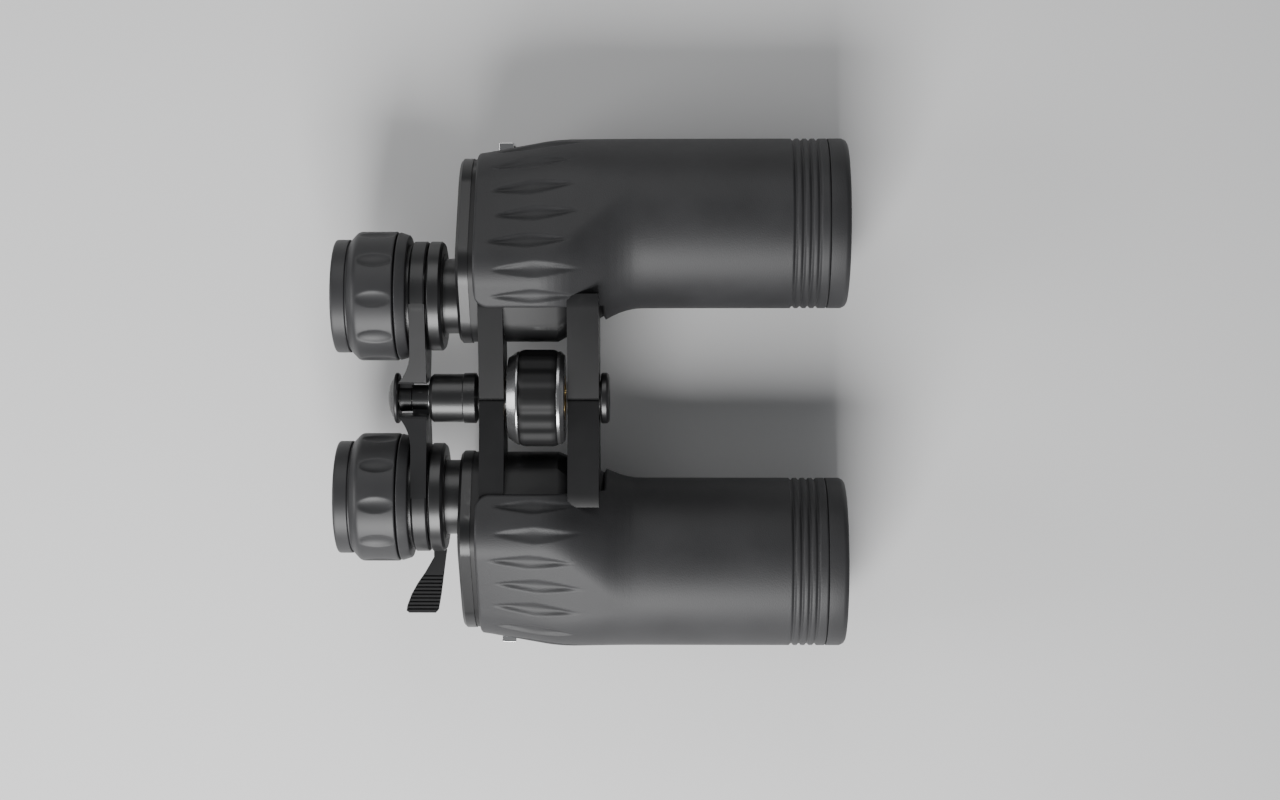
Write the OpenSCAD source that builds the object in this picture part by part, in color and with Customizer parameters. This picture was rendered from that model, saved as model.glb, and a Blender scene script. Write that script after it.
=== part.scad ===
// Zoom Porro-prism binoculars. +X is the user's right, +Y points to the
// objectives, +Z is up. The origin is on the ground under the hinge, half-way along.

/* [Overall] */
// Length from eyecups to front rims
total_len = 182; // [176:1:222]
// Distance between the eyepiece axes with the hinge fully open
ipd_open = 72; // [70:0.5:90]
// Height of the hinge axis above the ground
hinge_z = 50; // [50:0.5:64]
// How far the barrels fold together
fold_deg = 63; // [40:1:63]
// Focus travel of the eyepiece bridge
focus_travel = 8; // [4:0.5:9]

/* [Eyepieces] */
// Drop of the eyepiece axes below the hinge axis
eye_drop = 5; // [3:0.5:7]
// Outer radius of the eyecup sleeve
cup_r = 22.9; // [21.5:0.1:27.5]
// Radius of the lip of the eyecup
lip_r = 20.1; // [19.8:0.1:20.4]
// Thumb dimples round the eyecup
dimples = 10; // [6:1:14]
// Outer radius of the eyepiece tube where the cups slide
tube_r = 17.95; // [17.5:0.05:18.4]
// Outer radius of the neck that slides in the rear cover
neck_r = 13.3; // [11:0.1:14.2]
// Outer radius of the zoom rings and the arm rings
ring_r = 19.4; // [19:0.1:23]
// Eye lens diameter
eye_lens_d = 23; // [18:0.5:24]
// Rise of a twist-up eyecup
cup_rise = 6; // [3:0.5:7]

/* [Barrels] */
// Sideways distance of the objective axes from the hinge
obj_x = 61.5; // [61:0.5:68]
// Drop of the objective axes below the hinge axis
obj_drop = 19.5; // [18:0.5:19.5]
// Outer radius of the rubber on the objective barrels
barrel_r = 30.5; // [30.4:0.1:30.5]
// Objective lens diameter
obj_lens_d = 50; // [42:0.5:50]
// Thickness of the rubber armour
armour_t = 1.8; // [1.4:0.1:2]
// Wall of the housing
wall = 2; // [1.6:0.1:2.4]
// Half the length of a prism's long face
prism_half = 16.5; // [14:0.5:17]
// Width of a prism
prism_w = 17; // [14:0.5:18]

/* [Hinge and focus] */
// Outer radius of the fixed hinge sleeve
sleeve_r = 8.6; // [8.4:0.1:9.4]
// Radius of the hinge tubes inside the lugs
journal_r = 6.2; // [6:0.1:6.4]
// Radius of the focus spindle
spindle_r = 5; // [4:0.1:5.2]
// Outer radius of the focus wheel's rubber
wheel_r = 17.2; // [14:0.1:17.6]
// Length of the focus wheel
wheel_l = 20; // [18:0.5:20.5]
// Ridges on the focus wheel
ridges = 12; // [8:1:18]
// Radial clearance of turning and sliding fits
fit = 0.05; // [0.03:0.01:0.08]
// Clearance between separate bodies
gap = 0.3; // [0.25:0.05:0.4]
// Clearance of the rubber skin round the objective tube
skin_fit = 0.06; // [0.05:0.01:0.1]

/* [Hidden] */
$fn = 96;
sides = ["left", "right"];
shared = ["housing", "rear_cover", "armour", "prism_shelf", "front_prism", "rear_prism",
  "prism_clips", "objective_tube", "objective_cell", "crown_lens", "flint_lens",
  "lens_ring", "front_rim", "strap_lug", "eyepiece_tube", "field_lens", "zoom_cell",
  "zoom_lens", "eye_cell", "eye_lens", "zoom_ring", "eyecup_cam", "eyecup"];

rubber = "#242426";
metal = "#303134";
bright = "#b8babd";
clear = "#9fb4c8";

// Stations along Y, from the eyecups forward
rear = -total_len / 2;
front = total_len / 2;
cup_step = rear + 5.2;
cup_full = cup_step + 3.5;
cup_end = rear + 22.5;
collar_end = cup_end + 4;
arm_y0 = collar_end + 1.2;
arm_t = 5.4;
arm_y1 = arm_y0 + arm_t;
zoom_y0 = arm_y1 + 0.6;
zoom_y1 = zoom_y0 + 5;
cover_y0 = zoom_y1 + 5.6;
cover_y1 = cover_y0 + 4.4;
case_y0 = cover_y1;
armour_y0 = cover_y1 + 1.7;
lug_y0 = armour_y0 + 1.2;
lug_l = 8.7;
lug_y1 = lug_y0 + lug_l;
wheel_y0 = lug_y1 + 1.2;
wheel_y1 = wheel_y0 + wheel_l;
fore_lug_y0 = wheel_y1 + 1.2;
fore_lug_l = 11;
fore_lug_y1 = fore_lug_y0 + fore_lug_l;
shelf_y = case_y0 + 22;
shelf_t = 3;
shoulder_y0 = case_y0 + 30;
shoulder_y1 = case_y0 + 54;
// The hub of the bridge and the fixed sleeve around the spindle
hub_y0 = arm_y0 - 4.7;
hub_mid = hub_y0 + 4.4;
hub_r = 4.7;
pin_r = 2.5;
sleeve_y0 = arm_y1 + 0.6;
key_y = sleeve_y0 + 11.5;

// Axes seen from the rear
eye_x = ipd_open / 2;
eye_z = hinge_z - eye_drop;
obj_z = hinge_z - obj_drop;
fold_x = (eye_x + obj_x) / 2 + (eye_z - obj_z) / 2;
fold_z = (eye_z + obj_z) / 2 + (obj_x - eye_x) / 2;
seat_r = 16;
turn_r = 15;
bore_r = neck_r - 1.4;
cell_r = tube_r - 2.5;
tube_wall_r = barrel_r - armour_t;

// A solid of revolution about an axis along Y; points are [radius, y]
module turned(x, z, points) {
  translate([x, 0, z]) rotate([-90, 0, 0]) rotate_extrude() polygon(points);
}

// A rod along Y from y0 to y1
module rod(x, z, y0, y1, r) {
  translate([x, y0, z]) rotate([-90, 0, 0]) cylinder(h = y1 - y0, r = r);
}

// A washer or tube along Y
module tube(x, z, y0, y1, r, hole) {
  difference() {
    rod(x, z, y0, y1, r);
    rod(x, z, y0 - 1, y1 + 1, hole);
  }
}

// A flat shape drawn in X and Z, drawn out along Y from y0 to y1
module slab(y0, y1) {
  translate([0, y1, 0]) rotate([90, 0, 0]) linear_extrude(y1 - y0) children();
}

// Draws the right-hand shape, mirrored for the left
module sided(s) {
  mirror([s == "left" ? 1 : 0, 0, 0]) children();
}

// The circles whose hull is the outline of a housing: [x, z, radius]
outline = [
  [eye_x + 11.5, hinge_z + 4.7, 14],
  [eye_x, eye_z, neck_r + 3.4],
  [obj_x + 1.4, obj_z + 4.5, 22],
  [obj_x + 0.5, obj_z - 7, 20],
  [eye_x, eye_z - 23, 11.5]];

module outline_2d(grow) {
  hull() for (c = outline) translate([c[0], c[1]]) circle(r = c[2] + grow, $fn = 48);
}

// The same circles as thin discs at one station; flare swells the outer pair
module section(y, grow, flare) {
  for (i = [0 : len(outline) - 1])
    translate([outline[i][0] + (i == 2 ? flare : 0), y, outline[i][1]])
      rotate([-90, 0, 0]) cylinder(h = 0.2, r = outline[i][2] + grow, $fn = 32);
}

// Housing form: a flaring box and a shoulder down to the objective barrel
module housing_form(grow, y0, y1) {
  hull() {
    section(y0, grow, 0);
    section(shoulder_y0, grow, 5.4);
  }
  hull() {
    section(shoulder_y0, grow, 5.4);
    translate([obj_x, y1, obj_z]) rotate([-90, 0, 0])
      cylinder(h = 0.2, r = barrel_r - 1.4 + grow, $fn = 64);
  }
}

// One hinge lug: a block with a stop face at the seam and a ring round the hinge tube
module lug(y0, y1, ring_y0, ring_y1, bore) {
  low = hinge_z - 8;
  relief_r = journal_r + 1.5 + gap;
  difference() {
    union() {
      slab(y0, y1) polygon([
        [gap / 2, hinge_z + 8.4], [gap / 2 + 0.6, hinge_z + 9], [eye_x - 3.5, hinge_z + 13.4],
        [eye_x + 1.5, hinge_z + 12.4], [eye_x + 1.5, hinge_z - 2], [eye_x - 9, low],
        [6.7, low], [gap / 2, hinge_z]]);
      rod(0, hinge_z, max(ring_y0, y0), min(ring_y1, y1), relief_r - gap);
    }
    rod(0, hinge_z, y0 - 1, ring_y0, relief_r);
    rod(0, hinge_z, ring_y1, y1 + 1, relief_r);
    rod(0, hinge_z, y0 - 1, y1 + 1, bore);
  }
}

module housing(s) {
  first = s == "left" ? 1 : 0;
  bore = s == "left" ? journal_r : journal_r + fit;
  mid = lug_y0 + lug_l / 2;
  fore_mid = fore_lug_y0 + fore_lug_l / 2;
  color(metal) difference() {
    union() {
      housing_form(1.4 - armour_t, case_y0, shoulder_y1);
      lug(lug_y0, lug_y1, first ? mid + gap / 2 : lug_y0 - 1, first ? lug_y1 + 1 : mid - gap / 2, bore);
      lug(fore_lug_y0, fore_lug_y1, first ? fore_mid + gap / 2 : fore_lug_y0 - 1,
        first ? fore_lug_y1 + 1 : fore_mid - gap / 2, bore);
    }
    housing_form(1.4 - armour_t - wall, case_y0 - 1, shoulder_y1 + 0.3);
    rod(obj_x, obj_z, shoulder_y1 - 9, shoulder_y1 + 1, tube_wall_r - wall);
  }
}

module rear_cover(s) {
  color(metal) difference() {
    union() {
      hull() {
        slab(cover_y0, cover_y0 + 0.1) outline_2d(-1);
        slab(cover_y0 + 1, cover_y1) outline_2d(0);
      }
      slab(cover_y1, cover_y1 + 2.5) outline_2d(1.2 - armour_t - wall);
      rod(eye_x, eye_z, cover_y1, cover_y1 + 9, neck_r + 0.9);
    }
    slab(cover_y1, cover_y1 + 3) difference() {
      outline_2d(-armour_t - wall);
      translate([eye_x, eye_z]) circle(r = neck_r + 0.9);
    }
    rod(eye_x, eye_z, cover_y0 - 1, cover_y1 + 10, neck_r + fit);
  }
}

module armour(s) {
  color(rubber) {
    difference() {
      housing_form(1.4, armour_y0, shoulder_y1);
      housing_form(1.4 - armour_t + 0.02, armour_y0 - 2, shoulder_y1 + 0.3);
      translate([-200 + eye_x - 3.5, -150, -50]) cube([200, 151.5 + fore_lug_y1, 250]);
      for (y = [lug_y0, fore_lug_y0]) translate([0, y - 0.1, hinge_z - 10])
        cube([eye_x + 1.6, (y == lug_y0 ? lug_l : fore_lug_l) + 0.2, 23]);
    }
    tube(obj_x, obj_z, shoulder_y1, front - 7, barrel_r, tube_wall_r + skin_fit);
  }
}

module prism_shelf(s) {
  color(metal) difference() {
    slab(shelf_y, shelf_y + shelf_t) outline_2d(0.8 - armour_t - wall);
    rod(eye_x, eye_z, shelf_y - 1, shelf_y + shelf_t + 1, 8.2);
    rod(obj_x, obj_z, shelf_y - 1, shelf_y + shelf_t + 1, 8.2);
    rod(fold_x, fold_z, shelf_y - 1, shelf_y + shelf_t + 1, 8.2);
  }
}

// Places a shape drawn in X and Y on the shelf, centred between two axes, facing dir
module on_shelf(a, b, y, dir) {
  along = atan2(b[1] - a[1], b[0] - a[0]);
  translate([(a[0] + b[0]) / 2, y, (a[1] + b[1]) / 2]) rotate([0, -along, 0])
    mirror([0, dir < 0 ? 1 : 0, 0]) children();
}

module prism_solid() {
  tip = 1.5;
  linear_extrude(prism_w, center = true) polygon([
    [-prism_half, 0.05], [prism_half, 0.05], [tip, prism_half - tip], [-tip, prism_half - tip]]);
}

// A flat spring bent over the blunt ridge of a prism
module clip_solid() {
  t = 0.6;
  top = prism_half - 1.5;
  foot = prism_half + 1;
  linear_extrude(5, center = true) polygon([
    [-foot, 0], [-foot, 1], [-2.4, top + t], [2.4, top + t], [foot, 1], [foot, 0],
    [foot - t, 0], [1.6, top + 0.05], [-1.6, top + 0.05], [-foot + t, 0]]);
}

eye_axis = [eye_x, eye_z];
fold_axis = [fold_x, fold_z];
obj_axis = [obj_x, obj_z];

module front_prism(s) {
  color(clear) on_shelf(eye_axis, fold_axis, shelf_y + shelf_t, 1) prism_solid();
}

module rear_prism(s) {
  color(clear) on_shelf(fold_axis, obj_axis, shelf_y, -1) prism_solid();
}

module prism_clips(s) {
  color(bright) {
    on_shelf(eye_axis, fold_axis, shelf_y + shelf_t, 1) clip_solid();
    on_shelf(fold_axis, obj_axis, shelf_y, -1) clip_solid();
  }
}

module objective_tube(s) {
  spigot_r = tube_wall_r - wall;
  color(metal) turned(obj_x, obj_z, [
    [spigot_r - 1.5, shoulder_y1 - 8], [spigot_r, shoulder_y1 - 8], [spigot_r, shoulder_y1 + 0.25],
    [tube_wall_r, shoulder_y1 + 0.25], [tube_wall_r, front - 7], [obj_lens_d / 2 + 1.6, front - 7],
    [obj_lens_d / 2 + 1.6, front - 22], [spigot_r - 1.5, front - 22]]);
}

lens_y = front - 17;
module objective_cell(s) {
  r = obj_lens_d / 2;
  color(metal) turned(obj_x, obj_z, [
    [r - 1.5, lens_y - 3], [r + 1.6, lens_y - 3], [r + 1.6, lens_y + 12],
    [r, lens_y + 12], [r, lens_y - 0.5], [r - 1.5, lens_y - 0.5]]);
}

// Points of a spherical cap from the axis out to radius r, rising by sag
function cap_points(r, y, sag) = [for (i = [0 : 8])
  let (t = i / 8) [r * t, y + sag * (1 - t * t)]];
function cap_back(r, y, sag) = [for (i = [8 : -1 : 0])
  let (t = i / 8) [r * t, y + sag * (1 - t * t)]];

module flint_lens(s) {
  r = obj_lens_d / 2;
  color(clear) turned(obj_x, obj_z, concat([[0, lens_y - 0.5], [r, lens_y - 0.5]],
    cap_back(r, lens_y + 5, -3)));
}

module crown_lens(s) {
  r = obj_lens_d / 2;
  color(clear) turned(obj_x, obj_z, concat(cap_points(r, lens_y + 5, -3),
    cap_back(r, lens_y + 7, 2.6)));
}

module lens_ring(s) {
  r = obj_lens_d / 2;
  color(metal) turned(obj_x, obj_z, [
    [r - 1.2, lens_y + 7.6], [r, lens_y + 7.05], [r, lens_y + 9.6], [r - 0.6, lens_y + 9.6]]);
}

module front_rim(s) {
  r = obj_lens_d / 2 + 1.6;
  color(rubber) turned(obj_x, obj_z, [
    [r, front - 7], [barrel_r, front - 7], [barrel_r, front - 2], [barrel_r - 0.7, front - 0.6],
    [barrel_r - 1.6, front], [r + 1, front], [r, front - 1.2]]);
}

module strap_lug(s) {
  lug_x = obj_x + 23.4 + 1.4;
  z = obj_z - 2;
  color(bright) slab(armour_y0 + 7, armour_y0 + 12.2) difference() {
    translate([lug_x - 1.5, z - 7.5]) square([5.8, 15]);
    translate([lug_x + 1.9, z - 5.2]) square([1.3, 10.4]);
  }
}

module eyepiece_tube(s) {
  color(metal) turned(eye_x, eye_z, [
    [cell_r + fit, rear + 9], [tube_r, rear + 9], [tube_r, arm_y0 - 0.3], [seat_r, arm_y0 - 0.3],
    [seat_r, arm_y1 + 0.2], [turn_r, arm_y1 + 0.2], [turn_r, zoom_y1 + 0.2], [neck_r, zoom_y1 + 0.2],
    [neck_r, cover_y1 + 8.8], [bore_r, cover_y1 + 8.8], [bore_r, arm_y0 - 8],
    [cell_r + fit, arm_y0 - 8]]);
}

field_y = arm_y0 + 1;
module field_lens(s) {
  color(clear) turned(eye_x, eye_z, concat([[0, field_y], [bore_r, field_y]],
    cap_back(bore_r, field_y + 2.2, 1.8)));
}

zoom_cell_y = zoom_y0 + 2;
module zoom_cell(s) {
  color(metal) tube(eye_x, eye_z, zoom_cell_y, zoom_cell_y + 8, bore_r - fit, 9);
}

module zoom_lens(s) {
  color(clear) turned(eye_x, eye_z, concat([[0, zoom_cell_y + 2], [9, zoom_cell_y + 2]],
    cap_back(9, zoom_cell_y + 3.6, 1.5)));
}

eye_cell_y = rear + 8;
module eye_cell(s) {
  r = eye_lens_d / 2;
  color(metal) turned(eye_x, eye_z, [
    [r, eye_cell_y + 0.6], [r + 0.6, eye_cell_y], [cell_r - 0.3, eye_cell_y], [cell_r, eye_cell_y + 0.4],
    [cell_r, eye_cell_y + 8], [r - 1.5, eye_cell_y + 8], [r - 1.5, eye_cell_y + 5.5],
    [r, eye_cell_y + 5.5]]);
}

module eye_lens(s) {
  r = eye_lens_d / 2;
  color(clear) turned(eye_x, eye_z, concat(cap_points(r, eye_cell_y + 2.4, -1.6),
    [[r, eye_cell_y + 5.5], [0, eye_cell_y + 5.5]]));
}

module zoom_ring(s) {
  color(metal) turned(eye_x, eye_z, [
    [turn_r + fit, zoom_y0], [ring_r - 0.4, zoom_y0], [ring_r, zoom_y0 + 0.4],
    [ring_r, zoom_y1 - 0.9], [ring_r - 0.9, zoom_y1], [turn_r + fit, zoom_y1]]);
}

cam_r = tube_r + fit + 1.1;
module eyecup_cam(s) {
  color(metal) tube(eye_x, eye_z, rear + 9.4, cup_end - 0.6, cam_r, tube_r + fit);
}

module eyecup(s) {
  inner = cam_r + fit;
  color(rubber) difference() {
    turned(eye_x, eye_z, [
      [cell_r + 0.6, rear + 7.4], [lip_r - 3, rear + 1], [lip_r - 2.4, rear + 0.2],
      [lip_r - 1.5, rear], [lip_r - 0.5, rear + 0.5], [lip_r, rear + 1.5], [lip_r, cup_step],
      [lip_r - 0.6, cup_step], [lip_r - 0.6, cup_step + 0.7], [lip_r + 0.1, cup_step + 0.7],
      [cup_r - 0.3, cup_full], [cup_r, cup_full + 0.7], [cup_r, cup_end - 0.8],
      [cup_r - 0.4, cup_end - 0.3], [inner, cup_end - 0.3], [inner, rear + 8.6],
      [cell_r + 0.6, rear + 8.6]]);
    for (i = [0 : dimples - 1]) translate([eye_x, 0, eye_z]) rotate([0, i * 360 / dimples, 0])
      translate([0, (cup_full + cup_end) / 2, 0]) dimple();
  }
}

// A long shallow thumb hollow on top of a cup, cut by a tilted pair of cones
module dimple() {
  half = 6;
  for (m = [0, 1]) mirror([0, m, 0])
    translate([0, 0, cup_r + 2.2]) rotate([-90, 0, 0]) cylinder(h = half, r1 = 3, r2 = 1.9, $fn = 24);
}

// The ring next to the eyecup: it turns on the left and is fixed on the right
module collar(bore) {
  color(metal) turned(eye_x, eye_z, [
    [bore, cup_end + 0.1], [cup_r - 0.6, cup_end + 0.1], [cup_r - 0.2, cup_end + 0.5],
    [cup_r - 1.2, collar_end - 0.4], [cup_r - 1.6, collar_end], [bore, collar_end]]);
}

module left_dioptre_ring() { sided("left") collar(tube_r + fit); }
module right_collar_ring() { collar(tube_r); }

module zoom_lever() {
  root = ring_r;
  tip = 42;
  color(metal) translate([eye_x, 0, eye_z]) difference() {
    union() {
      intersection() {
        translate([0, 0, -2.1]) linear_extrude(2.8) polygon([
          [root - 1, zoom_y0 + 0.1], [root + 2.3, zoom_y0 + 0.1], [root + 4, zoom_y0 - 0.9],
          [root + 8, zoom_y0 - 3.2], [root + 12, zoom_y0 - 6], [root + 16, zoom_y0 - 8.2],
          [root + 20, zoom_y0 - 9.7], [tip - 0.8, zoom_y0 - 10], [tip, zoom_y0 - 9],
          [tip, zoom_y1 - 4.4], [tip - 1, zoom_y1 - 3.5], [root + 16, zoom_y1 - 2.5],
          [root + 10, zoom_y1 - 1.7], [root + 3, zoom_y1 - 0.8], [root - 1, zoom_y1 - 0.2]]);
        tube(0, 0, zoom_y0 - 20, zoom_y1 + 5, tip + 5, root);
      }
    }
    for (i = [0 : 9]) translate([tip - 13.8 + i * 1.34, zoom_y0 - 12, 0.15])
      cube([0.6, zoom_y1 - zoom_y0 + 12, 1]);
  }
}

// Where the hub's flare has grown to, at distance x from the hinge
flare_x = 17;
flare_end = 5.8;
flare_deep = arm_y0 - hub_y0 - 0.2;
flare_r = (pow(flare_x - flare_end, 2) + pow(flare_deep, 2)) / (2 * flare_deep);
function flare_y(x) = arm_y0 - flare_r + sqrt(pow(flare_r, 2) - pow(flare_x - x, 2));

module arm(s) {
  k0 = s == "left" ? hub_y0 : hub_mid + gap / 2;
  k1 = s == "left" ? hub_mid - gap / 2 : arm_y1;
  hole = s == "left" ? pin_r : pin_r + fit;
  edge = 0.7;
  color(metal) difference() {
    union() {
      turned(eye_x, eye_z, [
        [seat_r, arm_y0], [ring_r - 0.5, arm_y0], [ring_r, arm_y0 + 0.5],
        [ring_r, arm_y1 - 0.5], [ring_r - 0.5, arm_y1], [seat_r, arm_y1]]);
      intersection() {
        slab(hub_y0, arm_y1) polygon([
          [flare_end, hinge_z + 9.5 - edge], [flare_end + edge, hinge_z + 9.5],
          [eye_x - 2, eye_z + ring_r - 0.1], [eye_x, eye_z],
          [eye_x - 8, eye_z - 8], [flare_end + edge, hinge_z - 6.5],
          [flare_end, hinge_z - 6.5 + edge]]);
        linear_extrude(200) polygon(concat(
          [for (x = [flare_end : 1.4 : flare_x]) [x, flare_y(x) - 0.2]],
          [[eye_x + 1, arm_y0], [eye_x + 1, arm_y1], [flare_end, arm_y1]]));
      }
      rod(0, hinge_z, k0, k1, hub_r);
      slab(k0, k1) translate([0, hinge_z - hub_r]) square([flare_end + 1, 1.6 * hub_r]);
    }
    rod(0, hinge_z, hub_y0 - 1, arm_y1 + 1, hole);
    rod(eye_x, eye_z, hub_y0 - 1, arm_y1 + 1, seat_r);
  }
}

module left_arm() { sided("left") arm("left"); }
module right_arm() { arm("right"); }

module bridge_cap() {
  y = hub_y0 - gap;
  color(metal) turned(0, hinge_z, [
    [0, y], [8.6, y], [9, y - 0.4], [9, y - 1.2], [8.4, y - 1.6], [7.6, y - 1.7],
    [6.4, y - 2.5], [4.6, y - 3.3], [2.4, y - 3.8], [0, y - 4]]);
}

module focus_spindle() {
  color(bright) difference() {
    turned(0, hinge_z, [
      [0, hub_y0 - gap], [pin_r, hub_y0 - gap], [pin_r, arm_y1 + 0.2], [spindle_r, arm_y1 + 0.2],
      [spindle_r, wheel_y1 - 1], [0, wheel_y1 - 1]]);
    translate([-1.3, key_y - 1.5, hinge_z - spindle_r - 1])
      cube([2.6, focus_travel + 3, 2.8]);
  }
}

module guide_pin() {
  color(bright) translate([0, key_y, hinge_z - sleeve_r + 0.2]) cylinder(h = sleeve_r - 3.9, r = 1.2);
}

module rear_hinge_tube() {
  neck = lug_y0 - 1.2;
  color(metal) difference() {
    turned(0, hinge_z, [
      [spindle_r + fit, sleeve_y0], [sleeve_r - 1.2, sleeve_y0], [sleeve_r, sleeve_y0 + 1.2],
      [sleeve_r, neck - 4.9], [sleeve_r + 0.35, neck - 4.6], [sleeve_r + 0.35, neck - 0.6],
      [sleeve_r - 0.6, neck], [journal_r + 0.5, neck + 0.6],
      [journal_r + 0.5, lug_y0 - 0.3], [journal_r, lug_y0 - 0.3], [journal_r, lug_y1 + 0.4],
      [spindle_r + fit, lug_y1 + 0.4]]);
    translate([0, key_y, hinge_z - sleeve_r - 1]) cylinder(h = sleeve_r, r = 1.2);
  }
}

module front_hinge_tube() {
  color(metal) tube(0, hinge_z, fore_lug_y0 - 0.4, fore_lug_y1 + 0.5, journal_r, journal_r - 2);
}

module tripod_cap() {
  y = fore_lug_y1 + 0.5;
  color(metal) difference() {
    turned(0, hinge_z, [
      [0, y - 9], [journal_r - 2, y - 9], [journal_r - 2, y], [8.6, y], [9, y + 0.4],
      [9, y + 2.2], [8.2, y + 3], [0, y + 3]]);
    rod(0, hinge_z, y - 7, y + 4, 3.175);
  }
}

wheel_core_r = wheel_r - 2.2;
nut_r = spindle_r + 3;
module focus_nut() {
  color("#b59a5b") tube(0, hinge_z, wheel_y0, wheel_y1, nut_r, spindle_r + fit);
}

module focus_wheel() {
  lip = wheel_r - 0.6;
  color(bright) turned(0, hinge_z, [
    [nut_r, wheel_y0], [lip - 2.2, wheel_y0], [lip, wheel_y0 + 3.2], [lip, wheel_y0 + 4],
    [wheel_core_r, wheel_y0 + 4], [wheel_core_r, wheel_y1 - 2.5], [lip, wheel_y1 - 2.5],
    [lip, wheel_y1 - 1.4], [lip - 1.4, wheel_y1], [nut_r, wheel_y1]]);
}

module focus_grip() {
  color(rubber) difference() {
    union() {
      tube(0, hinge_z, wheel_y0 + 4, wheel_y1 - 2.5, wheel_r - 0.9, wheel_core_r);
      for (i = [0 : ridges - 1]) translate([0, wheel_y0 + 4, hinge_z]) rotate([0, i * 360 / ridges, 0])
        translate([0, 0.3, wheel_r - 1.7]) rotate([-90, 0, 0])
          cylinder(h = wheel_l - 7.1, r = 1.7, $fn = 24);
    }
    rod(0, hinge_z, wheel_y0, wheel_y1, wheel_core_r);
  }
}

module draw(s, part) {
  sided(s) {
    if (part == "housing") housing(s);
    if (part == "rear_cover") rear_cover(s);
    if (part == "armour") armour(s);
    if (part == "prism_shelf") prism_shelf(s);
    if (part == "front_prism") front_prism(s);
    if (part == "rear_prism") rear_prism(s);
    if (part == "prism_clips") prism_clips(s);
    if (part == "objective_tube") objective_tube(s);
    if (part == "objective_cell") objective_cell(s);
    if (part == "crown_lens") crown_lens(s);
    if (part == "flint_lens") flint_lens(s);
    if (part == "lens_ring") lens_ring(s);
    if (part == "front_rim") front_rim(s);
    if (part == "strap_lug") strap_lug(s);
    if (part == "eyepiece_tube") eyepiece_tube(s);
    if (part == "field_lens") field_lens(s);
    if (part == "zoom_cell") zoom_cell(s);
    if (part == "zoom_lens") zoom_lens(s);
    if (part == "eye_cell") eye_cell(s);
    if (part == "eye_lens") eye_lens(s);
    if (part == "zoom_ring") zoom_ring(s);
    if (part == "eyecup_cam") eyecup_cam(s);
    if (part == "eyecup") eyecup(s);
  }
}

for (s = sides) for (part = shared)
  draw(s, part);
left_dioptre_ring();
right_collar_ring();
rear_hinge_tube();
front_hinge_tube();
guide_pin();
tripod_cap();
focus_wheel();
focus_grip();
focus_nut();
focus_spindle();
left_arm();
right_arm();
bridge_cap();
zoom_lever();
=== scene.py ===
"""Zoom Porro-prism binoculars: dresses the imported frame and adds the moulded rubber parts."""

import logging
import math
from dataclasses import dataclass, field
from enum import Enum
from typing import Any, Sequence

import bpy
import numpy as np
from mathutils import Euler, Matrix, Vector


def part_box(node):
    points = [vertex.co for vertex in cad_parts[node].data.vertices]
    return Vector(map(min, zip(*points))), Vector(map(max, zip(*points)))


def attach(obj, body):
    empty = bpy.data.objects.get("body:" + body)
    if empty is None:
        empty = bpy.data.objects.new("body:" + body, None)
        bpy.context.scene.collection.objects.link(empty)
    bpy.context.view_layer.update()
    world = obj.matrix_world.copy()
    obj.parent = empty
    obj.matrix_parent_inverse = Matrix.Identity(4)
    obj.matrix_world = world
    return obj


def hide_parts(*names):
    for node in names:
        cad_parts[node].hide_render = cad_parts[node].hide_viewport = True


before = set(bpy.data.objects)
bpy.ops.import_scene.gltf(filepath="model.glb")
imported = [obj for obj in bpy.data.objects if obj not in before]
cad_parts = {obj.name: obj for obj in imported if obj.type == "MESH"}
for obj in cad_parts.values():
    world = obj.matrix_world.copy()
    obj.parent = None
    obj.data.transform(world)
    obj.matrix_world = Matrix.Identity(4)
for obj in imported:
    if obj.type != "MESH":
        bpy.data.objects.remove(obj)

LOG = logging.getLogger("binoculars")
MM = 0.001
Colour = tuple[float, float, float]


class Side(Enum):
    """The two barrels, with the sign of X that each lies on."""

    LEFT = -1
    RIGHT = 1

    @property
    def word(self) -> str:
        """The side's name as the frame's nodes spell it."""
        return self.name.lower()


class Grain(Enum):
    """How a surface is broken up at close range."""

    PEBBLE = "pebble"
    SATIN = "satin"
    BRUSHED = "brushed"
    POLISHED = "polished"


# ---------------------------------------------------------------- shaders


class Value:
    """A shader socket that can be used in a Python expression."""

    def __init__(self, net: "Net", socket: bpy.types.NodeSocket) -> None:
        """Wraps one output socket of a node network."""
        self.net = net
        self.socket = socket

    def _math(self, operation: str, first: Any, second: Any) -> "Value":
        """Adds a Math node.

        Args:
            operation: the Math node's operation.
            first: a number or a Value.
            second: a number or a Value.

        Returns:
            The node's result.
        """
        return self.net.add("ShaderNodeMath", {"operation": operation}, {0: first, 1: second})

    def __add__(self, other: Any) -> "Value":
        """Sum."""
        return self._math("ADD", self, other)

    __radd__ = __add__

    def __sub__(self, other: Any) -> "Value":
        """Difference."""
        return self._math("SUBTRACT", self, other)

    def __rsub__(self, other: Any) -> "Value":
        """Difference, reflected."""
        return self._math("SUBTRACT", other, self)

    def __mul__(self, other: Any) -> "Value":
        """Product."""
        return self._math("MULTIPLY", self, other)

    __rmul__ = __mul__

    def __pow__(self, other: Any) -> "Value":
        """Power."""
        return self._math("POWER", self, other)


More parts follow.
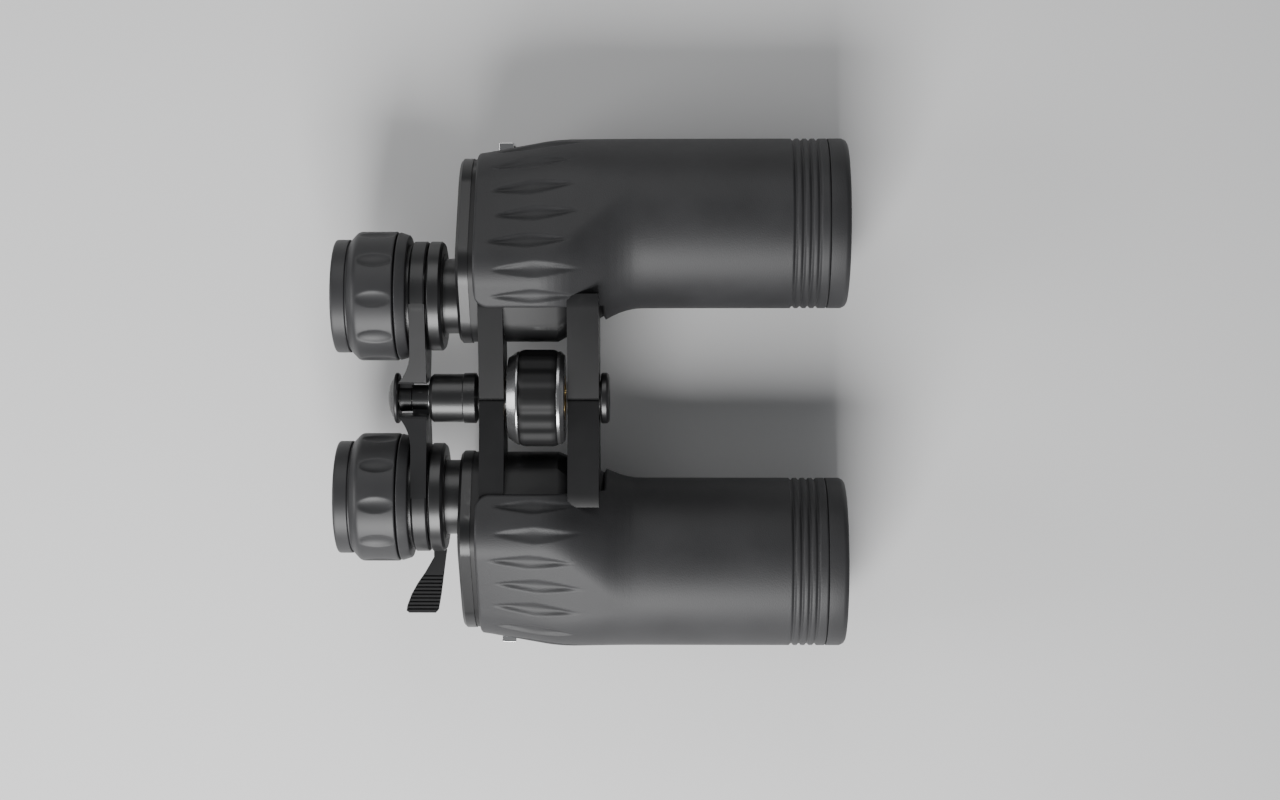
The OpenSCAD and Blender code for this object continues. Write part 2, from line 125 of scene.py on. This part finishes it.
class Net:
    """The node network of one material."""

    def __init__(self, name: str) -> None:
        """Starts an empty material called name."""
        self.material = bpy.data.materials.new(name)
        self.material.use_nodes = True
        self.tree = self.material.node_tree
        self.tree.nodes.clear()

    def add(self, kind: str, settings: dict[str, Any] | None = None,
            inputs: dict[Any, Any] | None = None, output: Any = 0) -> Value:
        """Adds one node.

        Args:
            kind: the node's type.
            settings: its properties; "stops" holds a colour ramp's (position, grey) pairs.
            inputs: numbers, colours or Values by socket name or index.
            output: the name or index of the socket to return.

        Returns:
            The chosen output.
        """
        node = self.tree.nodes.new(kind)
        for key, setting in (settings or {}).items():
            if key == "stops":
                ramp = node.color_ramp
                for index, (position, grey) in enumerate(setting):
                    stop = ramp.elements[index] if index < 2 else ramp.elements.new(position)
                    stop.position = position
                    stop.color = (grey, grey, grey, 1.0)
            else:
                setattr(node, key, setting)
        for key, given in (inputs or {}).items():
            if isinstance(given, Value):
                self.tree.links.new(given.socket, node.inputs[key])
            else:
                node.inputs[key].default_value = given
        return Value(self, node.outputs[output])

    def noise(self, scale: float, detail: float = 3.0, stretch: Sequence[float] = (1, 1, 1)) -> Value:
        """Object-space noise.

        Args:
            scale: features per metre.
            detail: octaves.
            stretch: scale of each axis.

        Returns:
            The noise factor.
        """
        where = self.add("ShaderNodeTexCoord", output="Object")
        mapped = self.add("ShaderNodeMapping", inputs={"Vector": where, "Scale": tuple(stretch)})
        return self.add("ShaderNodeTexNoise", inputs={"Vector": mapped, "Scale": scale, "Detail": detail})

    def ramp(self, value: Value, low: float, high: float) -> Value:
        """A soft mask that is 0 below low and 1 above high."""
        stops = [(low, 0.0), (high, 1.0)]
        return self.add("ShaderNodeValToRGB", {"stops": stops}, {"Fac": value})

    def blend(self, mask: Value, first: Colour, second: Colour) -> Value:
        """Mixes two colours by a mask.

        Args:
            mask: 0 for first, 1 for second.
            first: linear colour.
            second: linear colour.

        Returns:
            The mixed colour.
        """
        inputs = {"Factor": mask, 6: (*first, 1.0), 7: (*second, 1.0)}
        return self.add("ShaderNodeMix", {"data_type": "RGBA"}, inputs, output=2)

    def finish(self, inputs: dict[str, Any]) -> bpy.types.Material:
        """Closes the network with one Principled shader.

        Args:
            inputs: the shader's sockets.

        Returns:
            The material.
        """
        shader = self.add("ShaderNodeBsdfPrincipled", inputs=inputs)
        self.add_output(shader)
        return self.material

    def add_output(self, shader: Value) -> None:
        """Links the shader to the material's output."""
        out = self.tree.nodes.new("ShaderNodeOutputMaterial")
        self.tree.links.new(shader.socket, out.inputs["Surface"])


@dataclass(frozen=True)
class Finish:
    """One opaque finish, with its grain, dust and rubbed edges."""

    name: str
    slot: str
    colour: Colour
    roughness: float
    grain: Grain
    metallic: float = 0.0
    specular: float = 0.5
    coat: float = 0.0
    grain_size: float = 0.35
    grain_depth: float = 0.03
    wear: Colour | None = None

    def build(self) -> bpy.types.Material:
        """Builds the material.

        Returns:
            The finished material.
        """
        net = Net(self.name)
        cloud = net.noise(45.0, 4.0)
        lighter = tuple(min(1.0, c * 1.16 + 0.001) for c in self.colour)
        darker = tuple(c * 0.88 for c in self.colour)
        colour = net.blend(net.ramp(cloud, 0.35, 0.68), darker, lighter)
        roughness = self.roughness + (cloud - 0.5) * 0.07
        height = self._height(net)
        if self.wear is not None:
            worn = net.ramp(self._edge(net), 0.56, 0.63) * net.ramp(net.noise(330.0, 5.0), 0.42, 0.6)
            colour = net.add("ShaderNodeMix", {"data_type": "RGBA"},
                             {"Factor": worn * 0.55, 6: colour, 7: (*self.wear, 1.0)}, output=2)
            roughness = roughness - worn * 0.1
        bump = net.add("ShaderNodeBump", inputs={
            "Height": height, "Distance": self.grain_depth * MM, "Strength": 1.0})
        return net.finish({
            "Base Color": colour, "Roughness": roughness, "Normal": bump,
            "Metallic": self.metallic, "Specular IOR Level": self.specular,
            "Coat Weight": self.coat, "Coat Roughness": 0.18})

    def _height(self, net: Net) -> Value:
        """The grain's height, between 0 and 1."""
        scale = 1.0 / (self.grain_size * MM)
        if self.grain is Grain.PEBBLE:
            where = net.add("ShaderNodeTexCoord", output="Object")
            cells = net.add("ShaderNodeTexVoronoi", {"feature": "SMOOTH_F1"},
                            {"Vector": where, "Scale": scale, "Smoothness": 0.6})
            return 1.0 - cells + net.noise(scale * 2.2, 2.0) * 0.35
        if self.grain is Grain.BRUSHED:
            return net.noise(scale, 2.0, (1.0, 0.06, 1.0))
        if self.grain is Grain.SATIN:
            return net.noise(scale, 4.0)
        return net.noise(scale * 0.3, 1.0) * 0.4

    def _edge(self, net: Net) -> Value:
        """Where the surface turns sharply outward."""
        return net.add("ShaderNodeNewGeometry", output="Pointiness")


@dataclass(frozen=True)
class Glass:
    """A coated lens or a bare prism, with a painted reflection of its coating at grazing angles."""

    name: str
    slot: str
    tint: Colour
    glow: Colour
    transmission: float = 0.9

    def build(self) -> bpy.types.Material:
        """Builds the material.

        Returns:
            The finished material.
        """
        net = Net(self.name)
        # Painted reflection: the base colour turns from the tint to the coating's reflection tint at grazing
        # angles; the smudge noise is real tone.
        rim = net.add("ShaderNodeLayerWeight", inputs={"Blend": 0.35}, output="Facing")
        smudge = net.noise(90.0, 5.0)
        colour = net.blend(rim * 0.8 + smudge * 0.1, self.tint, self.glow)
        return net.finish({
            "Base Color": colour, "Roughness": 0.015 + net.ramp(smudge, 0.6, 0.8) * 0.05,
            "Transmission Weight": self.transmission, "IOR": 1.52, "Coat Weight": 1.0,
            "Coat Roughness": 0.02, "Coat Tint": (*self.glow, 1.0)})


FINISHES: dict[str, Any] = {
    "armour": Finish("armour_rubber", "armour_rubber", (0.025, 0.025, 0.0265), 0.54, Grain.PEBBLE,
                     specular=0.42, grain_size=0.42, grain_depth=0.035),
    "eyecup": Finish("eyecup_rubber", "eyecup_rubber", (0.025, 0.025, 0.0265), 0.48, Grain.SATIN,
                     specular=0.45, grain_size=0.3, grain_depth=0.012),
    "collar": Finish("collar_rubber", "eyecup_rubber", (0.025, 0.025, 0.0265), 0.46, Grain.SATIN,
                     specular=0.45, grain_size=0.3, grain_depth=0.012),
    "grip": Finish("grip_rubber", "grip_rubber", (0.009, 0.009, 0.0095), 0.58, Grain.SATIN, specular=0.3,
                   grain_size=0.25, grain_depth=0.015),
    "housing": Finish("housing_paint", "housing_paint", (0.008, 0.008, 0.0085), 0.46, Grain.SATIN,
                      specular=0.32, grain_size=0.2, grain_depth=0.012, wear=(0.1, 0.1, 0.1)),
    "cover": Finish("cover_paint", "cover_paint", (0.008, 0.008, 0.0085), 0.36, Grain.SATIN, specular=0.4,
                    grain_size=0.25, grain_depth=0.008, wear=(0.13, 0.13, 0.13), coat=0.05),
    "arm": Finish("arm_paint", "arm_paint", (0.014, 0.014, 0.0147), 0.42, Grain.SATIN, specular=0.4,
                  grain_size=0.25, grain_depth=0.008, wear=(0.16, 0.16, 0.16), coat=0.08),
    "ring": Finish("ring_paint", "ring_paint", (0.011, 0.011, 0.0115), 0.36, Grain.BRUSHED,
                   grain_size=0.3, grain_depth=0.006, wear=(0.14, 0.14, 0.14), coat=0.08),
    "lever": Finish("lever_plastic", "lever_plastic", (0.008, 0.008, 0.0085), 0.5, Grain.SATIN, specular=0.22,
                    grain_size=0.25, grain_depth=0.01),
    "cam": Finish("cam_plastic", "cam_plastic", (0.02, 0.02, 0.02), 0.5, Grain.SATIN),
    "wheel": Finish("wheel_alloy", "wheel_alloy", (0.34, 0.34, 0.345), 0.24, Grain.BRUSHED,
                    metallic=0.9, grain_size=0.25, grain_depth=0.006),
    "inner": Finish("inner_alloy", "inner_alloy", (0.015, 0.015, 0.016), 0.6, Grain.SATIN, metallic=0.3),
    "spring": Finish("spring_steel", "spring_steel", (0.4, 0.4, 0.4), 0.3, Grain.BRUSHED,
                     metallic=1.0, grain_depth=0.005),
    "steel": Finish("bright_steel", "bright_steel", (0.62, 0.62, 0.62), 0.16, Grain.POLISHED,
                    metallic=1.0, grain_depth=0.004),
    "brass": Finish("nut_brass", "nut_brass", (0.55, 0.38, 0.16), 0.3, Grain.BRUSHED,
                    metallic=1.0, grain_depth=0.005),
    # Each glass's second colour is its coating reflection tint, painted into the base colour at grazing
    # angles and also used as the coat tint.
    "lens": Glass("lens_glass", "lens_glass", (0.25, 0.32, 0.42), (0.42, 0.2, 0.62)),
    "prism": Glass("prism_glass", "prism_glass", (0.8, 0.86, 0.9), (0.9, 0.93, 0.96)),
}


@dataclass
class Paintbox:
    """Builds each finish once and puts it on pieces."""

    made: dict[str, bpy.types.Material] = field(default_factory=dict)

    def material(self, key: str) -> bpy.types.Material:
        """The material of one finish.

        Args:
            key: the finish's key.

        Returns:
            The material, built at its first use.
        """
        if key not in self.made:
            self.made[key] = FINISHES[key].build()
        return self.made[key]

    def apply(self, piece: bpy.types.Object, key: str) -> None:
        """Gives a piece one finish over its whole surface."""
        piece.data.materials.clear()
        piece.data.materials.append(self.material(key))


@dataclass
class Workshop:
    """Places finished meshes on the frame and eases the edges of CAD nodes."""

    paint: Paintbox
    log: logging.Logger

    def add(self, name: str, points: np.ndarray, faces: list[tuple[int, ...]], key: str,
            body: str, node: str) -> bpy.types.Object:
        """Makes a piece that stands for a CAD node.

        Args:
            name: the piece's name.
            points: its vertices in metres.
            faces: its polygons.
            key: its finish.
            body: the body that it rides on.
            node: the CAD node that it replaces.

        Returns:
            The new object.
        """
        mesh = bpy.data.meshes.new(name)
        mesh.from_pydata([tuple(p) for p in points], [], faces)
        mesh.validate()
        mesh.shade_smooth()
        piece = bpy.data.objects.new(name, mesh)
        bpy.context.scene.collection.objects.link(piece)
        self.paint.apply(piece, key)
        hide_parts(node)
        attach(piece, body)
        self.log.info("%s: %d faces", name, len(faces))
        return piece

    def dress(self, node: str, key: str, ease: float = 0.0) -> None:
        """Finishes a CAD node, with its sharp edges eased.

        Args:
            node: the CAD node's name.
            key: its finish.
            ease: the width of the eased edges in millimetres, or 0 for none.
        """
        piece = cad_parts[node]
        self.paint.apply(piece, key)
        weld = piece.modifiers.new("weld", "WELD")
        weld.merge_threshold = 0.002 * MM
        if ease:
            flat = piece.modifiers.new("flat", "DECIMATE")
            flat.decimate_type = "DISSOLVE"
            flat.angle_limit = math.radians(0.8)
            bevel = piece.modifiers.new("ease", "BEVEL")
            bevel.width = ease * MM
            bevel.segments = 2
            bevel.limit_method = "ANGLE"
            bevel.angle_limit = math.radians(32)
            bevel.harden_normals = False
        piece.data.shade_smooth()
        sharp = piece.modifiers.new("normals", "WEIGHTED_NORMAL")
        sharp.keep_sharp = True
        sharp.weight = 80
        self.log.info("%s: %s", node, key)


def centre(node: str) -> Vector:
    """The middle of a CAD node's box."""
    low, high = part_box(node)
    return (Vector(low) + Vector(high)) / 2


def smooth(value: np.ndarray | float, low: float, high: float) -> Any:
    """A smooth step from 0 at low to 1 at high."""
    t = np.clip((value - low) / (high - low), 0.0, 1.0)
    return t * t * (3.0 - 2.0 * t)


def filleted(corners: Sequence[tuple[float, float, float]], steps: int = 4) -> list[tuple[float, float]]:
    """Rounds the corners of a closed profile.

    Args:
        corners: (radius, y, fillet) in millimetres.
        steps: points per fillet.

    Returns:
        The profile's points.
    """
    points: list[tuple[float, float]] = []
    count = len(corners)
    for index, (r, y, fillet) in enumerate(corners):
        here = np.array([r, y])
        before = np.array(corners[index - 1][:2]) - here
        after = np.array(corners[(index + 1) % count][:2]) - here
        if fillet <= 0.0:
            points.append((r, y))
            continue
        reach = min(fillet, 0.45 * np.hypot(*before), 0.45 * np.hypot(*after))
        start = here + before / np.hypot(*before) * reach
        end = here + after / np.hypot(*after) * reach
        for step in range(steps + 1):
            t = step / steps
            spot = (1 - t) ** 2 * start + 2 * t * (1 - t) * here + t * t * end
            points.append((float(spot[0]), float(spot[1])))
    return points


def split_long(points: Sequence[tuple[float, float]], longest: float) -> list[tuple[float, float]]:
    """Adds points to a closed profile so that no step is longer than longest."""
    out: list[tuple[float, float]] = []
    for index, here in enumerate(points):
        there = points[(index + 1) % len(points)]
        parts = max(1, math.ceil(math.dist(here, there) / longest))
        for part in range(parts):
            t = part / parts
            out.append((here[0] + (there[0] - here[0]) * t, here[1] + (there[1] - here[1]) * t))
    return out


@dataclass
class Lathe:
    """Turns a closed profile round an axis along Y, with an optional radial carving."""

    axis: Vector
    columns: int = 192

    def turn(self, profile: Sequence[tuple[float, float]], carve: Any = None) -> tuple[np.ndarray, list]:
        """Builds the mesh data.

        Args:
            profile: (radius, y) in millimetres, anticlockwise in a plot of y against radius.
            carve: a function of angle, radius and y arrays that gives a change of radius in mm.

        Returns:
            The vertices in metres and the faces.
        """
        rows = np.array(profile)
        angle = np.linspace(0, 2 * math.pi, self.columns, endpoint=False)[None, :]
        radius = np.repeat(rows[:, :1], self.columns, axis=1)
        y = np.repeat(rows[:, 1:], self.columns, axis=1)
        if carve is not None:
            radius = radius + carve(np.broadcast_to(angle, radius.shape), radius, y)
        points = np.stack([self.axis.x + radius * MM * np.sin(angle), y * MM,
                           self.axis.z + radius * MM * np.cos(angle)], axis=-1)
        count = len(rows)
        faces = []
        for i in range(count):
            for j in range(self.columns):
                k, m = (i + 1) % count, (j + 1) % self.columns
                faces.append((i * self.columns + j, i * self.columns + m,
                              k * self.columns + m, k * self.columns + j))
        return points.reshape(-1, 3), faces


# ---------------------------------------------------------------- sub-assemblies


@dataclass
class Armour:
    """The rubber skin of one barrel, with its flame grooves."""

    side: Side
    shop: Workshop
    skin: float = 1.7
    groove_depth: float = 0.95
    groove_pitch: float = 10.2
    groove_half: float = 2.9
    groove_length: float = 36.0
    groove_start: float = 4.6
    inner_edge: float = 32.5
    corner: float = 5.0
    rear_step: float = 1.7
    case_length: float = 30.0
    shoulder_length: float = 24.0
    flare: float = 5.4
    neck: float = 13.3
    hinge: float = 50.0
    swell: float = 1.4
    open_past_cap: float = 10.0
    outer_columns: int = 300
    inner_columns: int = 60
    girth: float | None = None

    def build(self) -> None:
        """Lofts the skin over the housing and barrel and cuts the grooves."""
        node = f"{self.side.word}_armour"
        low, high = (np.array(c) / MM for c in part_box(node))
        self.rear, self.front = low[1], high[1]
        eye = centre("right_eyepiece_tube") / MM
        rim_low, rim_high = (np.array(c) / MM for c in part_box("right_front_rim"))
        self.axis = (rim_low + rim_high) / 2
        self.radius = (rim_high[0] - rim_low[0]) / 2
        self.shoulder = self.rear - self.rear_step + self.case_length
        self.barrel = self.shoulder + self.shoulder_length
        self.circles = np.array([
            [eye.x + 11.5, self.hinge + 4.7, 14.0], [eye.x, eye.z, self.neck + 3.4],
            [self.axis[0] + 1.4, self.axis[2] + 4.5, 22.0],
            [self.axis[0] + 0.5, self.axis[2] - 7.0, 20.0], [eye.x, eye.z - 23.0, 11.5]])
        self.open_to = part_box("tripod_cap")[0][1] / MM + self.open_past_cap
        stations = self._stations()
        rows = [self._row(y) for y in stations]
        points = np.array(rows)
        points[:, :, 0] *= self.side.value
        total = self.outer_columns + self.inner_columns
        faces = []
        for i, y in enumerate(stations[:-1]):
            for j in range(total):
                if j >= self.outer_columns - 1 and y < self.open_to:
                    continue
                k = (j + 1) % total
                quad = (i * total + j, (i + 1) * total + j, (i + 1) * total + k, i * total + k)
                faces.append(quad if self.side is Side.LEFT else quad[::-1])
        piece = self.shop.add(f"{self.side.word}_armour_skin", points.reshape(-1, 3) * MM, faces,
                              "armour", f"{self.side.word}_barrel", node)
        thick = piece.modifiers.new("thick", "SOLIDIFY")
        thick.thickness = self.skin * MM
        thick.offset = -1.0

    def _stations(self) -> list[float]:
        """Rows along the barrel, closest where the grooves are."""
        dense = np.arange(self.rear + 0.9, self.rear + 56.0, 0.75)
        plain = np.arange(self.rear + 56.5, self.front - 16.5, 2.5)
        bands = np.arange(self.front - 16.0, self.front - 0.5, 0.35)
        return [self.rear, self.rear + 0.15, self.rear + 0.45, *dense, *plain, *bands,
                self.front - 0.3, self.front]

    def _support(self, y: float, angle: np.ndarray) -> np.ndarray:
        """How far the outline reaches in each direction at one station."""
        normal = np.stack([np.cos(angle), np.sin(angle)])
        flare = self.flare * min(1.0, max(0.0, (y - self.rear + self.rear_step) / self.case_length))
        reach = []
        for index, (x, z, r) in enumerate(self.circles):
            x = x + (flare if index == 2 else 0.0)
            reach.append(x * normal[0] + z * normal[1] + r + self.swell)
        section = np.max(reach, axis=0)
        barrel = self.axis[0] * normal[0] + self.axis[2] * normal[1] + self.radius
        t = min(1.0, max(0.0, (y - self.shoulder) / (self.barrel - self.shoulder)))
        return section * (1 - t) + barrel * t

    def _row(self, y: float) -> np.ndarray:
        """One closed ring of points, from the top inner edge round the outside.

        Args:
            y: the station in millimetres.

        Returns:
            Points in millimetres.
        """
        angle = np.linspace(math.pi, -math.pi, 1440, endpoint=False)
        window = (-5.0, -2.5, 0.0, 2.5, 5.0)
        support = np.mean([self._support(y + d, angle) for d in window], axis=0)
        slope = (np.roll(support, -1) - np.roll(support, 1)) / (np.roll(angle, -1) - np.roll(angle, 1))
        slope[0] = slope[1]
        slope[-1] = slope[-2]
        nx, nz = np.cos(angle), np.sin(angle)
        x = support * nx - slope * nz
        z = support * nz + slope * nx
        length = np.concatenate([[0.0], np.cumsum(np.hypot(np.diff(x), np.diff(z)))])
        whole = length[-1] + math.hypot(x[0] - x[-1], z[0] - z[-1])
        base = self._crossing(x, length, self.inner_edge)
        depth = y - self.rear
        cut = self.inner_edge
        if depth < self.corner:
            cut += self.corner - math.sqrt(self.corner ** 2 - (self.corner - depth) ** 2)
        top, bottom = self._crossing(x, length, cut)
        outer = np.linspace(top, bottom, self.outer_columns)
        inner = np.linspace(bottom, top + whole, self.inner_columns + 2)[1:-1] % whole
        places = np.concatenate([outer, inner])
        grid = [np.interp(places, np.append(length, whole), np.append(v, v[0])) for v in (x, z, nx, nz)]
        span = base[1] - base[0]
        if self.girth is None:
            self.girth = span
        along = (places - base[0]) * self.girth / span
        inset = self._groove(along, y) + self._bands(y)
        edge = min(abs(y - self.rear), abs(self.front - y))
        inset = inset + 0.6 * (1.0 - smooth(edge, -0.1, 0.6))
        if y < self.open_to:
            side = np.minimum(places - top, bottom - places)
            inset = inset + 0.5 * (1.0 - smooth(side, -0.1, 0.9))
        return np.stack([grid[0] - inset * grid[2], np.full(len(places), y),
                         grid[1] - inset * grid[3]], axis=-1)

    def _crossing(self, x: np.ndarray, length: np.ndarray, edge: float) -> tuple[float, float]:
        """Where the outline crosses a value of X, on the top and on the bottom."""
        outside = np.nonzero(x >= edge)[0]
        first, last = outside[0], outside[-1]
        return (float(np.interp(edge, x[first - 1:first + 1], length[first - 1:first + 1])),
                float(np.interp(edge, x[[last + 1, last]], length[[last + 1, last]])))

    def _groove(self, along: np.ndarray, y: float) -> np.ndarray:
        """Depth of the flame grooves at distances along one row."""
        number = np.round((along - self.groove_start) / self.groove_pitch)
        number = np.clip(number, 0, 15)
        offset = np.abs(along - self.groove_start - number * self.groove_pitch)
        stagger = 1.3 * np.sin(number * 2.4)
        t = (y - self.rear - 5.0 - stagger) / self.groove_length
        t = np.clip(t, 0.0, 1.0)
        half = self.groove_half * np.minimum(1.0, (t / 0.42)) ** 0.8 * (1.0 - smooth(t, 0.35, 1.0))
        ratio = np.clip(offset / np.maximum(half, 0.05), 0.0, 1.0)
        return self.groove_depth * (1.0 - ratio ** 2) * smooth(half, 0.05, 1.6)

    def _bands(self, y: float) -> float:
        """Depth of the ring grooves near the front of the barrel."""
        depth = 0.0
        for index in range(4):
            depth += 0.7 * math.exp(-(((y - self.front + 4.0 + 2.8 * index) / 0.55) ** 4))
        return depth


@dataclass
class Eyecup:
    """One twist-up eyecup with thumb dimples."""

    side: Side
    shop: Workshop
    dimples: int = 10
    dimple_half_length: float = 6.2
    dimple_half_width: float = 2.7
    dimple_depth: float = 0.85

    def build(self) -> None:
        """Turns the cup, with its dimples."""
        node = f"{self.side.word}_eyecup"
        low, high = (Vector(c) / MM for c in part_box(node))
        rear, end, radius = low.y, high.y, (high.x - low.x) / 2
        step, full = rear + 5.2, rear + 8.7
        lip, hole, inner = 20.1, 16.05, 19.15
        corners = [
            (hole, rear + 8.6, 0.2), (hole, rear + 7.4, 1.0), (lip - 3.0, rear + 1.3, 1.6),
            (lip - 1.6, rear, 1.0), (lip, rear + 0.2, 1.7), (lip, step, 0.35),
            (lip - 0.8, step + 0.05, 0.15), (lip - 0.8, step + 0.7, 0.15),
            (lip + 0.1, step + 0.75, 0.2), (radius, full - 0.25, 1.1), (radius, end, 0.6),
            (inner, end, 0.2), (inner, rear + 8.6, 0.2)]
        profile = split_long(filleted(corners), 0.6)
        middle = (full + end) / 2 + 0.2

        def carve(angle: np.ndarray, r: np.ndarray, y: np.ndarray) -> np.ndarray:
            """Hollows the dimples out of the sleeve."""
            sector = 2 * math.pi / self.dimples
            turn = (angle + sector / 2) % sector - sector / 2
            across = turn * radius / self.dimple_half_width
            along = (y - middle) / self.dimple_half_length
            reach = np.clip(1.0 - across ** 2 - along ** 2, 0.0, 1.0)
            return -self.dimple_depth * reach ** 0.75 * (r > radius - 0.5)

        points, faces = Lathe(centre(node), 300).turn(profile[::-1], carve)
        self.shop.add(f"{self.side.word}_eyecup_rubber", points, faces, "eyecup",
                      f"{self.side.word}_cup", node)


@dataclass
class FocusWheel:
    """The ridged rubber of the focus wheel."""

    shop: Workshop
    ridges: int = 12
    ridge_height: float = 1.1

    def build(self) -> None:
        """Turns the grip with rounded ridges."""
        node = "focus_grip"
        low, high = (Vector(c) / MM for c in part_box(node))
        radius = (high.z - low.z) / 2
        core = radius - 2.2
        corners = [(core, low.y, 0.1), (radius - 0.5, low.y, 0.7), (radius, low.y + 1.6, 1.2),
                   (radius, high.y - 1.6, 1.2), (radius - 0.5, high.y, 0.7), (core, high.y, 0.1)]
        profile = split_long(filleted(corners), 0.5)

        def carve(angle: np.ndarray, r: np.ndarray, y: np.ndarray) -> np.ndarray:
            """Lowers the valleys between the ridges."""
            wave = np.abs(np.sin((angle) * self.ridges / 2))
            return -self.ridge_height * (wave ** 3) * (r > core + 0.8)

        points, faces = Lathe(centre(node), 360).turn(profile[::-1], carve)
        self.shop.add("focus_grip_rubber", points, faces, "grip", "focus_knob", node)


@dataclass
class Barrel:
    """The metal and glass of one barrel, which the frame already holds."""

    side: Side
    shop: Workshop

    def dress(self) -> None:
        """Finishes the barrel's CAD nodes."""
        plan = {
            "housing": ("housing", 0.25), "rear_cover": ("cover", 0.35),
            "objective_tube": ("housing", 0.0), "objective_cell": ("inner", 0.0),
            "lens_ring": ("ring", 0.1), "front_rim": ("armour", 0.2), "strap_lug": ("steel", 0.3),
            "prism_shelf": ("inner", 0.0), "front_prism": ("prism", 0.15),
            "rear_prism": ("prism", 0.15), "prism_clips": ("spring", 0.0),
            "crown_lens": ("lens", 0.0), "flint_lens": ("lens", 0.0)}
        for part, (key, ease) in plan.items():
            self.shop.dress(f"{self.side.word}_{part}", key, ease)


@dataclass
class Eyepiece:
    """The rings, tube and lenses of one eyepiece."""

    side: Side
    shop: Workshop

    def dress(self) -> None:
        """Finishes the eyepiece's CAD nodes."""
        plan = {
            "eyepiece_tube": ("ring", 0.15), "zoom_ring": ("ring", 0.15), "zoom_cell": ("inner", 0.0),
            "eye_cell": ("ring", 0.12), "eyecup_cam": ("cam", 0.0), "field_lens": ("lens", 0.0),
            "zoom_lens": ("lens", 0.0), "eye_lens": ("lens", 0.0)}
        for part, (key, ease) in plan.items():
            self.shop.dress(f"{self.side.word}_{part}", key, ease)
        ring = "left_dioptre_ring" if self.side is Side.LEFT else "right_collar_ring"
        self.shop.dress(ring, "collar", 0.2)


@dataclass
class Bridge:
    """The hinge, the focus mechanism and the arms that carry the eyepieces."""

    shop: Workshop

    def dress(self) -> None:
        """Finishes the centre's CAD nodes."""
        plan = {
            "left_arm": ("arm", 0.35), "right_arm": ("arm", 0.35), "bridge_cap": ("arm", 0.2),
            "rear_hinge_tube": ("ring", 0.2), "front_hinge_tube": ("ring", 0.0),
            "guide_pin": ("spring", 0.0), "tripod_cap": ("ring", 0.25),
            "focus_wheel": ("wheel", 0.2), "focus_nut": ("brass", 0.0),
            "focus_spindle": ("spring", 0.1), "zoom_lever": ("lever", 0.18)}
        for node, (key, ease) in plan.items():
            self.shop.dress(node, key, ease)


@dataclass
class Studio:
    """The floor, the lights and the camera."""

    lens: float = 63.0
    height: float = 0.795
    roll: float = 4.9
    pitch: float = -0.9
    aim_x: float = 0.7
    aim_y: float = 17.0

    def build(self) -> None:
        """Sets the scene round the object."""
        self._floor()
        self._world()
        self._area("key", (0.64, -0.1, 0.6), (0.0, -0.03, 0.04), 0.45, 12.5)
        self._area("fill", (-0.7, -0.1, 0.5), (0.0, 0.0, 0.04), 0.5, 2.0)
        self._area("back", (0.05, -0.75, 0.4), (0.0, -0.05, 0.05), 0.4, 3.0)
        self._camera()

    def _floor(self) -> None:
        """A large pale floor."""
        mesh = bpy.data.meshes.new("floor")
        size = 3.0
        mesh.from_pydata([(-size, -size, 0), (size, -size, 0), (size, size, 0), (-size, size, 0)],
                         [], [(0, 1, 2, 3)])
        floor = bpy.data.objects.new("floor", mesh)
        bpy.context.scene.collection.objects.link(floor)
        net = Net("pale_floor")
        tone = net.blend(net.noise(6.0), (0.66, 0.66, 0.66), (0.7, 0.7, 0.7))
        mesh.materials.append(net.finish({"Base Color": tone, "Roughness": 0.9}))

    def _world(self) -> None:
        """A soft white surround."""
        world = bpy.data.worlds.new("studio")
        world.use_nodes = True
        backdrop = world.node_tree.nodes["Background"]
        backdrop.inputs["Color"].default_value = (0.95, 0.97, 1.0, 1.0)
        backdrop.inputs["Strength"].default_value = 0.2
        bpy.context.scene.world = world

    def _area(self, name: str, where: Sequence[float], target: Sequence[float], size: float,
              power: float) -> None:
        """Adds one soft light.

        Args:
            name: the light's name.
            where: its place in metres.
            target: the point that it faces.
            size: its width in metres.
            power: its power in watts.
        """
        light = bpy.data.lights.new(name, "AREA")
        light.size = size
        light.energy = power
        lamp = bpy.data.objects.new(name, light)
        lamp.location = where
        lamp.rotation_euler = (Vector(target) - Vector(where)).to_track_quat("-Z", "Y").to_euler()
        bpy.context.scene.collection.objects.link(lamp)

    def _camera(self) -> None:
        """Looks straight down, with the eyepieces to the left of the picture."""
        data = bpy.data.cameras.new("camera")
        data.lens = self.lens
        data.sensor_width = 36.0
        camera = bpy.data.objects.new("camera", data)
        bpy.context.scene.collection.objects.link(camera)
        basis = Matrix(((0, -1, 0), (1, 0, 0), (0, 0, 1)))
        tilt = Euler((0, -math.radians(self.roll), 0)).to_matrix()
        nod = Euler((math.radians(self.pitch), 0, 0)).to_matrix()
        turn = tilt @ nod @ basis
        aim = Vector((self.aim_x * MM, self.aim_y * MM, centre("bridge_cap").z))
        camera.matrix_world = Matrix.Translation(aim + turn @ Vector((0, 0, self.height))) @ turn.to_4x4()
        bpy.context.scene.camera = camera


def plain(box: Any) -> list[list[float]]:
    """A box as plain lists of numbers."""
    return [[float(v) for v in corner] for corner in box]


def main() -> None:
    """Builds the sub-assemblies in order."""
    logging.basicConfig(level=logging.INFO, format="%(message)s")
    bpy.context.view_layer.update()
    shop = Workshop(Paintbox(), LOG)
    Studio().build()
    for side in Side:
        Barrel(side, shop).dress()
        Eyepiece(side, shop).dress()
        Armour(side, shop).build()
        Eyecup(side, shop).build()
    Bridge(shop).dress()
    FocusWheel(shop).build()


if __name__ == "__main__":
    main()
